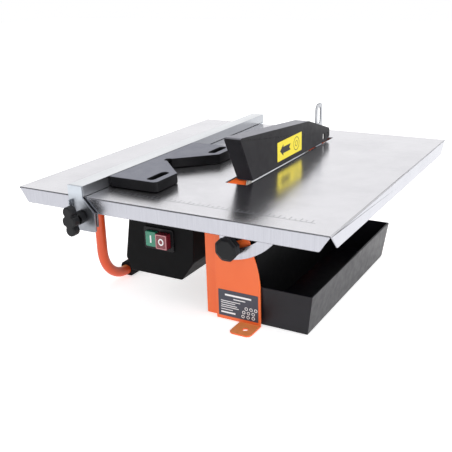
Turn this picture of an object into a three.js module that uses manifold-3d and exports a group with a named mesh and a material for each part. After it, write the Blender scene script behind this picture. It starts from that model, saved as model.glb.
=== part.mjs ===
// Bench tile cutter with a tilting table, a fixed motor and blade, and a pull-out water tray.
// Millimetres. +Z is up, +X is the tray side, -Y is the front, where the switch is.
// The pieces are laid out from the table's front edge (Y = 0), its centre line (X = 0) and the
// floor (Z = 0). The last lines move the origin to the middle of the object's footprint.
import * as THREE from 'three';
import { mergeVertices } from 'three/addons/utils/BufferGeometryUtils.js';
import Module from 'manifold-3d';

const wasm = await Module();
wasm.setup();

// ---------------------------------------------------------------- driving dimensions

const GAP = 0.3; // between pieces that touch
const TOP = 152; // height of the work surface

const table = { width: 330, depth: 360, sheet: 1.5, flange: 15, frontMitre: 10 };
const throat = { left: 15.4, right: 39, front: 97, back: 320 };
const hinge = { x: 12, z: TOP - 5, pin: 2, edge: 3.2 };

const blade = { x: 27.5, y: 195, z: TOP - 55, radius: 90, thick: 2.2, bore: 11.4 };
const shaftRadius = 6;

const leg = {
  front: 97.5, // front face of the front leg plate
  thick: 2,
  left: 0,
  right: 51.8,
  strip: -15.6, // outer edge of the joggled strip
  joggle: 6.5, // how far the strip stands behind the plate
  tabLeft: 27.5,
  tabLength: 25,
};
const baseMiddle = 221.5; // the base is mirrored front to back about this Y

const tube = { radius: 6, left: -157, end: 8, y: leg.front + 8.3, high: TOP - 8.5, low: 7.5 };
const foot = { width: 16, length: 22, height: 17, inset: 52 };
const screwHole = { x: 41, inset: 13, radius: 3 }; // in the foot tabs

const quadrant = { outer: 76, slot: 60, slotHalf: 4, start: 11, travel: 45, thick: 2 };
const bevelKnob = { radius: 12.4, thick: 15.5, stud: 3 };

const box = { front: 99.3, back: 250, top: 134, wall: 3 };
const boxOutline = [
  [-103.5, box.top],
  [-117.5, 49],
  [-110.5, 34],
  [-44, 34],
  [-28.4, 56],
  [-24, box.top],
];
const motor = { left: -92, stator: 40, radius: 40, neck: 24, hump: 46 };
const inlet = { x: -80, z: 60, neck: 6 }; // cable inlet on the back of the box
const can = { y: 137, z: 55, radius: 14, left: -100, right: -45 }; // capacitor

const button = { bottom: 69.5, top: 86.5, green: [-84.8, -71.3], red: [-69.7, -55.2] };
const bezel = { left: -89, right: -51.2, bottom: 65.5, top: 90.5, thick: 1.5 };

const guard = { left: 22, right: 40, wall: 2, pivotY: 300, pivotZ: TOP + 8, pin: 2.5 };
const knife = { x: blade.x, thick: 1.8, front: 293.5, back: 311.5, low: TOP - 116, top: TOP + 44 };
const knifeBolt = { y: 303, z: TOP - 50, radius: 3 };

const shield = { left: 46, thick: 2, low: 12, high: 113, shoulder: 86, slope: 26, skirt: 10, ledge: 49 };

const tray = {
  left: 2.6,
  right: 108,
  front: 100,
  back: 342.4,
  bottom: 0.5,
  rim: 45,
  wall: 2,
  draftX: 6.5,
  draftY: 4,
};

const fence = { left: -98.5, width: 17, height: 10.5, lift: 0.4, front: -1, back: 371, wall: 1.5 };
const clamp = { x: -84, z: TOP - 18.5, stud: 2.5, bottom: TOP - 33, ear: -68.5 };
const guide = { left: -81, right: -25, front: 36.8, back: 192.6, thick: 10, lift: 0.8, notch: 41 };
const guideSlot = { left: -41, right: -33, half: 15, round: 3.9, fromMiddle: 57 };

// ---------------------------------------------------------------- materials

const finish = (color, roughness, metalness) =>
  new THREE.MeshStandardMaterial({ color, roughness, metalness });

const orange = finish(0xee6a36, 0.4, 0.1);
const blackPlastic = finish(0x26262a, 0.55, 0);
const zinc = finish(0xd6d8dc, 0.3, 0.85);
const steel = finish(0xb9bcc0, 0.3, 0.95);
const aluminium = finish(0xe4e6e8, 0.35, 0.8);
const castAluminium = finish(0xa9abae, 0.6, 0.7);
const lamination = finish(0x6f7276, 0.5, 0.6);
const rubber = finish(0x1b1b1d, 0.9, 0);
const greenPlastic = finish(0x1f7a5c, 0.35, 0);
const redPlastic = finish(0x7a2432, 0.35, 0);

// ---------------------------------------------------------------- shape helpers

/** Straight corners become arcs: each point is [a, b] or [a, b, radius]. */
function outline(points) {
  const result = [];
  points.forEach(([a, b, radius = 0], i) => {
    if (!radius) {
      result.push(new THREE.Vector2(a, b));
      return;
    }
    const corner = new THREE.Vector2(a, b);
    const [pa, pb] = points[(i + points.length - 1) % points.length];
    const [na, nb] = points[(i + 1) % points.length];
    const back = new THREE.Vector2(pa, pb).sub(corner).normalize();
    const on = new THREE.Vector2(na, nb).sub(corner).normalize();
    const half = Math.acos(THREE.MathUtils.clamp(back.dot(on), -1, 1)) / 2;
    const from = corner.clone().addScaledVector(back, radius / Math.tan(half));
    const to = corner.clone().addScaledVector(on, radius / Math.tan(half));
    const steps = Math.max(2, Math.round(((Math.PI - 2 * half) / Math.PI) * 8));
    const centre = corner
      .clone()
      .addScaledVector(back.clone().add(on).normalize(), radius / Math.sin(half));
    const start = Math.atan2(from.y - centre.y, from.x - centre.x);
    let turn = Math.atan2(to.y - centre.y, to.x - centre.x) - start;
    turn = Math.atan2(Math.sin(turn), Math.cos(turn));
    for (let k = 0; k <= steps; k++) {
      const angle = start + (turn * k) / steps;
      result.push(
        new THREE.Vector2(
          centre.x + radius * Math.cos(angle),
          centre.y + radius * Math.sin(angle),
        ),
      );
    }
  });
  return result;
}

/** An arc about a centre, in degrees, as [a, b] points for outline(). */
function arc(a, b, radius, from, to, steps) {
  const points = [];
  for (let k = 0; k <= steps; k++) {
    const angle = THREE.MathUtils.degToRad(from + ((to - from) * k) / steps);
    points.push([a + radius * Math.cos(angle), b + radius * Math.sin(angle)]);
  }
  return points;
}

/** A closed outline moved inwards by a wall thickness. Points run anticlockwise. */
function inset(points, wall) {
  const line = ([ax, ay], [bx, by]) => {
    const length = Math.hypot(bx - ax, by - ay);
    const nx = -(by - ay) / length;
    const ny = (bx - ax) / length;
    return [nx, ny, nx * ax + ny * ay + wall];
  };
  return points.map((point, i) => {
    const before = line(points[(i + points.length - 1) % points.length], point);
    const after = line(point, points[(i + 1) % points.length]);
    const det = before[0] * after[1] - before[1] * after[0];
    return [
      (before[2] * after[1] - before[1] * after[2]) / det,
      (before[0] * after[2] - before[2] * after[0]) / det,
    ];
  });
}

/** Extrudes an outline along X (points are Y, Z), Y (points are X, Z) or Z (points are X, Y). */
function prism(axis, points, low, high) {
  const geometry = new THREE.ExtrudeGeometry(new THREE.Shape(outline(points)), {
    depth: high - low,
    bevelEnabled: false,
    curveSegments: 8,
  });
  if (axis === 'x') {
    geometry.applyMatrix4(new THREE.Matrix4().set(0, 0, 1, low, 1, 0, 0, 0, 0, 1, 0, 0, 0, 0, 0, 1));
  } else if (axis === 'y') {
    geometry.rotateX(Math.PI / 2).translate(0, high, 0);
  } else {
    geometry.translate(0, 0, low);
  }
  return geometry;
}

/** A box from one corner to the opposite one. */
function block([x0, y0, z0], [x1, y1, z1]) {
  return new THREE.BoxGeometry(x1 - x0, y1 - y0, z1 - z0).translate(
    (x0 + x1) / 2,
    (y0 + y1) / 2,
    (z0 + z1) / 2,
  );
}

/** A round or polygonal bar along an axis; a and b place it across that axis. */
function bar(axis, a, b, radius, low, high, sides = 24, turn = 0) {
  const geometry = new THREE.CylinderGeometry(radius, radius, high - low, sides);
  geometry.rotateY(turn);
  const middle = (low + high) / 2;
  if (axis === 'x') return geometry.rotateZ(-Math.PI / 2).translate(middle, a, b);
  if (axis === 'y') return geometry.translate(a, middle, b);
  return geometry.rotateX(Math.PI / 2).translate(a, b, middle);
}

/** A turned piece about the motor's axis: the profile is [radius, X] pairs, closed on itself. */
function turned(profile, sides = 32) {
  const points = [...profile, profile[0]].map(([radius, x]) => new THREE.Vector2(radius, x));
  return new THREE.LatheGeometry(points, sides).rotateZ(-Math.PI / 2).translate(0, blade.y, blade.z);
}

/** Turns geometry into a solid that can be joined and cut. */
function solid(geometry) {
  geometry.deleteAttribute('normal');
  geometry.deleteAttribute('uv');
  const merged = mergeVertices(geometry, 1e-4);
  return new wasm.Manifold(
    new wasm.Mesh({
      numProp: 3,
      vertProperties: new Float32Array(merged.attributes.position.array),
      triVerts: new Uint32Array(merged.index.array),
    }),
  );
}

/** A first geometry with others joined to it and others cut away. */
function carve(first, { join = [], cut = [] }) {
  let body = solid(first);
  for (const geometry of join) body = body.add(solid(geometry));
  for (const geometry of cut) body = body.subtract(solid(geometry));
  const mesh = body.getMesh();
  const geometry = new THREE.BufferGeometry();
  geometry.setAttribute('position', new THREE.BufferAttribute(mesh.vertProperties, 3));
  geometry.setIndex(new THREE.BufferAttribute(mesh.triVerts, 1));
  return geometry;
}

/** The same piece on the other end of the base. */
function mirrored(geometry) {
  const copy = geometry.clone().scale(1, -1, 1).translate(0, 2 * baseMiddle, 0);
  const index = copy.index.array;
  for (let i = 0; i < index.length; i += 3) [index[i], index[i + 1]] = [index[i + 1], index[i]];
  return copy;
}

const object = new THREE.Group();

function piece(name, geometry, material) {
  const mesh = new THREE.Mesh(geometry, material);
  mesh.name = name;
  object.add(mesh);
}

// ---------------------------------------------------------------- table

/** A sheet with four folded flanges whose ends are mitred, and a throat for the blade. */
function tableTop() {
  const half = table.width / 2;
  const under = TOP - table.sheet;
  const low = TOP - table.flange;
  const reach = table.flange;
  const acrossX = [
    [-half, TOP],
    [-half + table.frontMitre, low],
    [half - table.frontMitre, low],
    [half, TOP],
  ];
  const acrossY = [
    [0, TOP],
    [reach, low],
    [table.depth - reach, low],
    [table.depth, TOP],
  ];
  return carve(block([-half, 0, under], [half, table.depth, TOP]), {
    join: [
      prism('y', acrossX, 0, table.sheet),
      prism('y', acrossX, table.depth - table.sheet, table.depth),
      prism('x', acrossY, -half, -half + table.sheet),
      prism('x', acrossY, half - table.sheet, half),
    ],
    cut: [
      block([throat.left, throat.front, under - 1], [throat.right, throat.back, TOP + 1]),
    ],
  });
}

/** The tilt quadrant under the table: its arc slot runs round the hinge pin. */
function quadrantPlate() {
  const { x, z } = hinge;
  const under = TOP - table.sheet - GAP;
  const back = leg.front - 1;
  const front = back - quadrant.thick;
  const slotFrom = -90 + quadrant.start;
  const slotTo = slotFrom + quadrant.travel;
  const inner = quadrant.slot - quadrant.slotHalf;
  const outer = quadrant.slot + quadrant.slotHalf;
  const slot = [
    ...arc(x, z, outer, slotFrom - 1, slotTo + 1, 14),
    ...arc(x, z, inner, slotTo + 1, slotFrom - 1, 14),
  ];
  const end = (degrees) => {
    const angle = THREE.MathUtils.degToRad(degrees);
    const a = x + quadrant.slot * Math.cos(angle);
    const b = z + quadrant.slot * Math.sin(angle);
    return bar('y', a, b, quadrant.slotHalf, front - 1, back + 1, 16);
  };
  const rim = arc(x, z, quadrant.outer, -92, -26, 22);
  return carve(
    prism('y', [[x - 8, under], ...rim, [rim[rim.length - 1][0], under]], front, back),
    {
      join: [block([x - 8, front - 7, under - 1.5], [x + 62, back, under])],
      cut: [
        prism('y', slot, front - 1, back + 1),
        end(slotFrom - 1),
        end(slotTo + 1),
        bar('y', x, z, hinge.pin + GAP, front - 1, back + 1, 16),
      ],
    },
  );
}

piece('table_top', tableTop(), zinc);
const frontQuadrant = quadrantPlate();
piece('quadrant_front', frontQuadrant, zinc);
piece('quadrant_rear', mirrored(frontQuadrant), zinc);

// ---------------------------------------------------------------- base frame

const studAngle = THREE.MathUtils.degToRad(-90 + quadrant.start);
const stud = {
  x: hinge.x + quadrant.slot * Math.cos(studAngle),
  z: hinge.z + quadrant.slot * Math.sin(studAngle),
};

/** A folded leg: flat plate, joggled strip on its left, foot tab turned out on its right. */
function legPlate() {
  const back = leg.front + leg.thick;
  const stripBack = back + leg.joggle;
  const eyeTop = hinge.z + hinge.edge;
  const plate = [
    [leg.left, 1],
    [leg.right, 1],
    [leg.right, 46],
    [50.2, 58],
    [47.6, 69],
    [44.2, 80],
    [40.2, 94],
    [35.5, 110],
    [29, 126],
    [16, 142.5],
    [hinge.x + hinge.edge, hinge.z],
    [hinge.x + hinge.edge * Math.SQRT1_2, hinge.z + hinge.edge * Math.SQRT1_2],
    [hinge.x, eyeTop],
    [leg.left, eyeTop],
  ];
  const tab = [
    [leg.tabLeft, leg.front - leg.tabLength, 5],
    [leg.right, leg.front - leg.tabLength, 5],
    [leg.right, back],
    [leg.tabLeft, back],
  ];
  const stripTop = tube.high - tube.radius - 1.5;
  return carve(prism('y', plate, leg.front, back), {
    join: [
      prism('z', tab, 0, leg.thick),
      block([leg.left, leg.front, 1], [leg.left + leg.thick, stripBack, stripTop]),
      block([leg.strip, stripBack - leg.thick, 1], [leg.left + leg.thick, stripBack, stripTop]),
    ],
    cut: [
      bar('y', stud.x, stud.z, bevelKnob.stud + GAP, leg.front - 1, back + 1, 20),
      bar('y', hinge.x, hinge.z, hinge.pin + GAP, leg.front - 1, back + 1, 16),
      bar('z', screwHole.x, leg.front - screwHole.inset, screwHole.radius, -1, leg.thick + 1, 20),
    ],
  });
}

const frontLeg = legPlate();
piece('front_leg_plate', frontLeg, orange);
piece('rear_leg_plate', mirrored(frontLeg), orange);

/** One bent tube: top run, front upright, floor run, rear upright, top run. */
function frameTube() {
  const rear = 2 * baseMiddle - tube.y;
  const corners = [
    [tube.end, tube.y, tube.high, 0],
    [tube.left, tube.y, tube.high, 26],
    [tube.left, tube.y, tube.low, 40],
    [tube.left, rear, tube.low, 40],
    [tube.left, rear, tube.high, 26],
    [tube.end, rear, tube.high, 0],
  ].map(([x, y, z, radius]) => ({ at: new THREE.Vector3(x, y, z), radius }));
  const path = new THREE.CurvePath();
  let from = corners[0].at;
  for (let i = 1; i < corners.length - 1; i++) {
    const { at, radius } = corners[i];
    const before = corners[i - 1].at.clone().sub(at).normalize();
    const after = corners[i + 1].at.clone().sub(at).normalize();
    const start = at.clone().addScaledVector(before, radius);
    const end = at.clone().addScaledVector(after, radius);
    const pull = 0.5523; // handle length that makes a cubic follow a quarter circle
    path.add(new THREE.LineCurve3(from, start));
    path.add(
      new THREE.CubicBezierCurve3(
        start,
        start.clone().addScaledVector(before, -radius * pull),
        end.clone().addScaledVector(after, -radius * pull),
        end,
      ),
    );
    from = end;
  }
  path.add(new THREE.LineCurve3(from, corners[corners.length - 1].at));
  const section = new THREE.Shape();
  section.absarc(0, 0, tube.radius, 0, 2 * Math.PI);
  return new THREE.ExtrudeGeometry(section, { extrudePath: path, steps: 80, curveSegments: 6 });
}

piece('frame_tube', frameTube(), orange);

/** A rubber clip round the floor run of the tube. */
function tubeFoot() {
  const middle = tube.y + foot.inset;
  const half = foot.width / 2;
  const ring = [
    [tube.left - half, 0, 2],
    [tube.left + half, 0, 2],
    [tube.left + half, foot.height, 6],
    [tube.left - half, foot.height, 6],
  ];
  const low = middle - foot.length / 2;
  const high = middle + foot.length / 2;
  return carve(prism('y', ring, low, high), {
    cut: [bar('y', tube.left, tube.low, tube.radius + GAP, low - 1, high + 1, 24)],
  });
}

const frontFoot = tubeFoot();
piece('tube_foot_front', frontFoot, rubber);
piece('tube_foot_rear', mirrored(frontFoot), rubber);

/** The long plate between the legs that carries the motor. */
function sidePlate() {
  const front = leg.front + leg.thick + leg.joggle + GAP;
  const back = 2 * baseMiddle - front;
  const notch = 9;
  const high = TOP - 4;
  const shoulder = tube.high - tube.radius - 1.5;
  const plate = [
    [front, 50],
    [back, 50],
    [back, shoulder],
    [back - notch, shoulder],
    [back - notch, high, 4],
    [front + notch, high, 4],
    [front + notch, shoulder],
    [front, shoulder],
  ];
  return carve(prism('x', plate, -4, -2), {
    cut: [bar('x', blade.y, blade.z, 20, -5, -1, 32)],
  });
}

piece('side_plate', sidePlate(), orange);

const pinFront = leg.front - 1 - quadrant.thick - 1;
const hingePin = bar('y', hinge.x, hinge.z, hinge.pin, pinFront, leg.front + leg.thick + 1.5, 16);
piece('hinge_pin_front', hingePin, steel);
piece('hinge_pin_rear', mirrored(hingePin), steel);

/** Splash shield beside the blade, standing between the legs. */
function splashShield() {
  const front = leg.front + leg.thick + GAP;
  const back = 2 * baseMiddle - front;
  const right = shield.left + shield.thick;
  const face = [
    [front, shield.ledge],
    [front + shield.skirt, shield.ledge],
    [front + shield.skirt, shield.low],
    [back - shield.skirt, shield.low],
    [back - shield.skirt, shield.ledge],
    [back, shield.ledge],
    [back, shield.shoulder],
    [back - shield.slope, shield.high, 8],
    [front + shield.slope, shield.high, 8],
    [front, shield.shoulder],
  ];
  return prism('x', face, shield.left, right);
}

piece('splash_shield', splashShield(), blackPlastic);

// ---------------------------------------------------------------- bevel locks

/** Eight-sided knob with its threaded stud. */
function lockKnob() {
  const back = leg.front - 1 - quadrant.thick - 1.2;
  const front = back - bevelKnob.thick;
  const eighth = Math.PI / 8;
  const { x, z } = stud;
  const chamfer = new THREE.CylinderGeometry(bevelKnob.radius, bevelKnob.radius - 2.2, 2.2, 8)
    .rotateY(eighth)
    .translate(x, front + 1.1, z);
  return carve(bar('y', x, z, bevelKnob.radius, front + 2.1, back - 5, 8, eighth), {
    join: [
      chamfer,
      bar('y', x, z, 8, back - 6, back, 24),
      bar('y', x, z, bevelKnob.stud, back - 1, leg.front + leg.thick + 3.6, 20),
    ],
  });
}

/** A nut with a clear thread hole, on a stud or shaft along Y. */
function nutOnY(x, z, radius, hole, low, high) {
  return carve(bar('y', x, z, radius, low, high, 6), {
    cut: [bar('y', x, z, hole, low - 1, high + 1, 20)],
  });
}

const frontKnob = lockKnob();
piece('bevel_knob_front', frontKnob, blackPlastic);
piece('bevel_knob_rear', mirrored(frontKnob), blackPlastic);
const nutLow = leg.front + leg.thick + GAP;
const frontNut = nutOnY(stud.x, stud.z, 5.5, bevelKnob.stud + GAP, nutLow, nutLow + 3);
piece('bevel_nut_front', frontNut, zinc);
piece('bevel_nut_rear', mirrored(frontNut), zinc);

// ---------------------------------------------------------------- motor box and switch

/** Open-topped moulded box round the motor, with a window for the switch. */
function motorBox() {
  const inner = inset(boxOutline, box.wall);
  const openTop = box.top + 5;
  inner[0][1] = openTop;
  inner[inner.length - 1][1] = openTop;
  return carve(prism('y', boxOutline, box.front, box.back), {
    cut: [
      prism('y', inner, box.front + box.wall, box.back - box.wall),
      bar('x', blade.y, blade.z, motor.neck + 2, -40, 0, 32),
      block(
        [bezel.left + 2, box.front - 1, bezel.bottom + 2],
        [bezel.right - 2, box.front + box.wall + 1, bezel.top - 2],
      ),
      bar('y', inlet.x, inlet.z, inlet.neck + GAP, box.back - box.wall - 1, box.back + 1, 20),
    ],
  });
}

/** Lid of the box, with a hump over the motor. */
function motorBoxLid() {
  const low = box.top + GAP;
  const high = low + 2;
  const left = boxOutline[0][0] + 0.5;
  const right = boxOutline[boxOutline.length - 1][0] - 0.5;
  const under = block([-130, 90, 0], [0, 260, low]);
  return carve(block([left, box.front, low], [right, box.back, high]), {
    join: [bar('x', blade.y, blade.z, motor.hump, left + 1, right - 1, 48)],
    cut: [bar('x', blade.y, blade.z, motor.hump - 2, left + 3, right - 3, 48), under],
  });
}

piece('motor_box', motorBox(), blackPlastic);
piece('motor_box_lid', motorBoxLid(), blackPlastic);

/** Switch body behind a bezel, with a well for each button. */
function switchHousing() {
  const face = box.front - GAP;
  const wells = [button.green, button.red].map(([left, right]) =>
    block(
      [left - GAP, face - bezel.thick - 1, button.bottom - GAP],
      [right + GAP, face + 14, button.top + GAP],
    ),
  );
  const plate = [
    [bezel.left, bezel.bottom, 2],
    [bezel.right, bezel.bottom, 2],
    [bezel.right, bezel.top, 2],
    [bezel.left, bezel.top, 2],
  ];
  return carve(prism('y', plate, face - bezel.thick, face), {
    join: [
      block(
        [bezel.left + 2.5, face - 0.5, bezel.bottom + 2.5],
        [bezel.right - 2.5, face + 24, bezel.top - 2.5],
      ),
    ],
    cut: wells,
  });
}

piece('switch_housing', switchHousing(), blackPlastic);

/** A push button: proud of the bezel by its own amount, long enough to stay in its well. */
function pushButton([left, right], proud) {
  const front = box.front - GAP - bezel.thick - proud;
  const face = [
    [left, button.bottom, 1.2],
    [right, button.bottom, 1.2],
    [right, button.top, 1.2],
    [left, button.top, 1.2],
  ];
  return prism('y', face, front, front + proud + bezel.thick + 10);
}

piece('start_button', pushButton(button.green, 3.6), greenPlastic);
piece('stop_button', pushButton(button.red, 7), redPlastic);

const statorLeft = motor.left + 8 + GAP;
const statorRight = statorLeft + motor.stator;
piece(
  'stator',
  turned([
    [25.5, statorLeft],
    [motor.radius, statorLeft],
    [motor.radius, statorRight],
    [25.5, statorRight],
  ]),
  lamination,
);
piece(
  'end_shield_left',
  turned([
    [8, motor.left],
    [19, motor.left],
    [19, motor.left + 3],
    [motor.radius + 1, motor.left + 3],
    [motor.radius + 1, motor.left + 8],
    [15, motor.left + 8],
    [15, motor.left + 2],
    [8, motor.left + 2],
  ]),
  castAluminium,
);
const shieldLeft = statorRight + GAP;
const shieldRight = -4 - GAP;
piece(
  'end_shield_right',
  turned([
    [9, shieldLeft],
    [motor.radius + 1, shieldLeft],
    [motor.radius + 1, shieldLeft + 6],
    [motor.neck, shieldLeft + 8],
    [motor.neck, shieldRight],
    [16, shieldRight],
    [16, shieldRight - 12],
    [9, shieldRight - 12],
  ]),
  castAluminium,
);

function bearing(outer, left, right) {
  const bore = shaftRadius + GAP;
  return turned([
    [bore, left],
    [outer, left],
    [outer, right],
    [bore, right],
  ]);
}

piece('bearing_left', bearing(15 - GAP, motor.left + 2 + GAP, motor.left + 8), steel);
piece('bearing_right', bearing(16 - GAP, shieldRight - 11.5, shieldRight - 1.5), steel);
piece('rotor_core', bearing(24.8, statorLeft + 1.5, statorRight - 1.5), lamination);

/** Shaft with a round end for the fan and a long nose for the blade. */
piece(
  'motor_shaft',
  new THREE.LatheGeometry(
    [
      [0, motor.left - 6],
      [shaftRadius, motor.left - 6],
      [shaftRadius, 43],
      [shaftRadius - 1, 44],
      [0, 44],
    ].map(([radius, x]) => new THREE.Vector2(radius, x)),
    24,
  )
    .rotateZ(-Math.PI / 2)
    .translate(0, blade.y, blade.z),
  steel,
);

/** Six-bladed fan on the shaft's far end. */
function coolingFan() {
  const left = motor.left - 5;
  const vanes = [0, 1, 2, 3, 4, 5].map((k) =>
    block([left, -0.8, 8], [left + 4.4, 0.8, 27])
      .rotateX((k * Math.PI) / 3)
      .translate(0, blade.y, blade.z),
  );
  const hub = [
    [shaftRadius + GAP, left],
    [9.5, left],
    [9.5, left + 3],
    [28, left + 3.2],
    [28, left + 4.4],
    [shaftRadius + GAP, left + 4.4],
  ];
  return carve(turned(hub, 24), { join: vanes });
}

piece('cooling_fan', coolingFan(), blackPlastic);
piece('capacitor', bar('x', can.y, can.z, can.radius, can.left, can.right), aluminium);

/** Cable inlet on the back of the box. */
function cableGland() {
  const at = (radius, low, high, sides) => bar('y', inlet.x, inlet.z, radius, low, high, sides);
  const wall = box.back - box.wall;
  return carve(at(9.5, box.back + GAP, box.back + 7, 6), {
    join: [at(inlet.neck, wall - 3, box.back + 2, 20), at(7.5, box.back + 6, box.back + 15, 20)],
    cut: [at(3.4, wall - 5, box.back + 20, 16)],
  });
}

piece('cable_gland', cableGland(), blackPlastic);

// ---------------------------------------------------------------- blade and arbor

const bladeLeft = blade.x - blade.thick / 2;
const bladeRight = blade.x + blade.thick / 2;
piece(
  'inner_flange',
  turned([
    [shaftRadius + GAP, bladeLeft - 7],
    [12, bladeLeft - 7],
    [23, bladeLeft - 4],
    [23, bladeLeft - GAP],
    [blade.bore - GAP, bladeLeft - GAP],
    [blade.bore - GAP, bladeRight],
    [shaftRadius + GAP, bladeRight],
  ]),
  steel,
);
piece(
  'blade',
  turned(
    [
      [blade.bore, bladeLeft],
      [blade.radius, bladeLeft],
      [blade.radius, bladeRight],
      [blade.bore, bladeRight],
    ],
    72,
  ),
  steel,
);
piece(
  'outer_flange',
  turned([
    [shaftRadius + GAP, bladeRight + GAP],
    [23, bladeRight + GAP],
    [23, bladeRight + 2.5],
    [12, bladeRight + 4.5],
    [shaftRadius + GAP, bladeRight + 4.5],
  ]),
  steel,
);
piece(
  'arbor_nut',
  carve(bar('x', blade.y, blade.z, 10.5, bladeRight + 4.8, bladeRight + 12.8, 6), {
    cut: [bar('x', blade.y, blade.z, shaftRadius + GAP, 0, 60, 20)],
  }),
  zinc,
);

// ---------------------------------------------------------------- riving knife and guard

/** Steel plate behind the blade, slotted above the guard. */
function rivingKnife() {
  const left = knife.x - knife.thick / 2;
  const right = knife.x + knife.thick / 2;
  const width = knife.back - knife.front;
  const plate = [
    [knife.front, knife.low],
    [knife.back, knife.low],
    [knife.back, knife.top, 5],
    [knife.front, knife.top, 7],
  ];
  const margin = 4.2;
  const slotLow = TOP + 20;
  const slotTop = knife.top - margin;
  const round = (width / 2 - margin) * 0.9;
  const slot = [
    [knife.front + margin, slotLow, round],
    [knife.back - margin, slotLow, round],
    [knife.back - margin, slotTop, round],
    [knife.front + margin, slotTop, round],
  ];
  return carve(prism('x', plate, left, right), {
    cut: [
      prism('x', slot, left - 1, right + 1),
      bar('x', guard.pivotY, guard.pivotZ, guard.pin + GAP, left - 1, right + 1, 16),
      bar('x', knifeBolt.y, knifeBolt.z, knifeBolt.radius + GAP, left - 1, right + 1, 16),
    ],
  });
}

piece('riving_knife', rivingKnife(), steel);

const knifeLeft = knife.x - knife.thick / 2;
piece(
  'knife_bracket',
  carve(
    block(
      [-2 + GAP, knifeBolt.y - 7, knifeBolt.z - 10],
      [knifeLeft - GAP, knifeBolt.y + 7, knifeBolt.z + 10],
    ),
    { cut: [bar('x', knifeBolt.y, knifeBolt.z, knifeBolt.radius + GAP, 8, 40, 16)] },
  ),
  orange,
);
const knifeRight = knife.x + knife.thick / 2;
piece(
  'knife_bolt',
  carve(bar('x', knifeBolt.y, knifeBolt.z, 6, knifeRight + GAP, knifeRight + 4.5, 6), {
    join: [bar('x', knifeBolt.y, knifeBolt.z, knifeBolt.radius, 10, knifeRight + 1, 20)],
  }),
  zinc,
);

/** Side outline of the guard, as Y and height above the work surface. */
const guardOutline = [
  [109, 1],
  [298, 1],
  [307, 4.5],
  [307, 15, 2],
  [246, 34.4, 12],
  [88, 48, 3],
  [84.5, 46, 1.5],
].map(([y, z, radius]) => [y, z + TOP, radius]);

/** Hollow guard, open below, slotted at the back for the riving knife. */
function bladeGuard() {
  const { left, right, wall } = guard;
  const cavity = [
    [112.5, TOP - 5],
    [304.5, TOP - 5],
    [304.5, TOP + 13.6],
    [245.6, TOP + 32.3],
    [89.5, TOP + 45.7],
  ];
  const knifeSlot = knife.thick / 2 + 1.2;
  return carve(prism('x', guardOutline, left, right), {
    cut: [
      prism('x', cavity, left + wall, right - wall),
      block([knife.x - knifeSlot, 286, TOP - 5], [knife.x + knifeSlot, 312, TOP + 60]),
      bar('x', guard.pivotY, guard.pivotZ, guard.pin + GAP, left - 1, right + 1, 16),
      prism(
        'x',
        [
          [286.7, TOP + 4.2, 1.8],
          [290.8, TOP + 4.2, 1.8],
          [290.8, TOP + 11.4, 1.8],
          [286.7, TOP + 11.4, 1.8],
        ],
        left - 1,
        right + 1,
      ),
    ],
  });
}

piece('blade_guard', bladeGuard(), blackPlastic);
piece(
  'guard_pin',
  bar('x', guard.pivotY, guard.pivotZ, guard.pin, guard.left + 0.2, guard.right - 0.2, 16),
  blackPlastic,
);

// ---------------------------------------------------------------- water tray

/** Four points of a level rectangle of the tray, moved in by a draft and a wall. */
function trayPoints(share, wall, z) {
  const x = tray.draftX * share;
  const y = tray.draftY * share;
  return [
    [tray.left + x + wall, tray.front + y + wall, z],
    [tray.right - x - wall, tray.front + y + wall, z],
    [tray.right - x - wall, tray.back - y - wall, z],
    [tray.left + x + wall, tray.back - y - wall, z],
  ];
}

/** A six-sided solid between a lower and an upper rectangle. */
function drafted(lower, upper) {
  const geometry = new THREE.BufferGeometry();
  geometry.setAttribute('position', new THREE.Float32BufferAttribute([...lower, ...upper].flat(), 3));
  const faces = [0, 2, 1, 0, 3, 2, 4, 5, 6, 4, 6, 7];
  for (let k = 0; k < 4; k++) {
    const next = (k + 1) % 4;
    faces.push(k, next, next + 4, k, next + 4, k + 4);
  }
  geometry.setIndex(faces);
  return geometry;
}

const trayFloor = tray.bottom + tray.wall;
const trayCavity = drafted(
  trayPoints(1, tray.wall, trayFloor),
  trayPoints(0, tray.wall, tray.rim + 0.01),
);
piece(
  'water_tray',
  carve(drafted(trayPoints(1, 0, tray.bottom), trayPoints(0, 0, tray.rim)), { cut: [trayCavity] }),
  blackPlastic,
);

// ---------------------------------------------------------------- rip fence

const fenceRight = fence.left + fence.width;
const railLow = TOP + fence.lift;
const railHigh = railLow + fence.height;
piece(
  'fence_rail',
  carve(block([fence.left, fence.front, railLow], [fenceRight, fence.back, railHigh]), {
    cut: [
      block(
        [fence.left + fence.wall, fence.front - 1, railLow + fence.wall],
        [fenceRight - fence.wall, fence.back + 1, railHigh - fence.wall],
      ),
    ],
  }),
  aluminium,
);

/** Plate hanging in front of the table, wider below, with a stiffening lip. */
function clampPlate() {
  const back = fence.front - GAP;
  const front = back - 1.8;
  const shoulder = fenceRight - clamp.ear;
  const plate = [
    [fence.left, railHigh],
    [fence.left, clamp.bottom, 3],
    [clamp.ear, clamp.bottom, 3],
    [clamp.ear, TOP - 1 + shoulder],
    [fenceRight, TOP - 1],
    [fenceRight, railHigh],
  ];
  return carve(prism('y', plate, front, back), {
    join: [block([-96, front - 4, TOP - 30], [-94.5, front + 0.5, TOP - 3])],
    cut: [bar('y', clamp.x, clamp.z, clamp.stud + GAP, front - 1, back + 1, 20)],
  });
}

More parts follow.
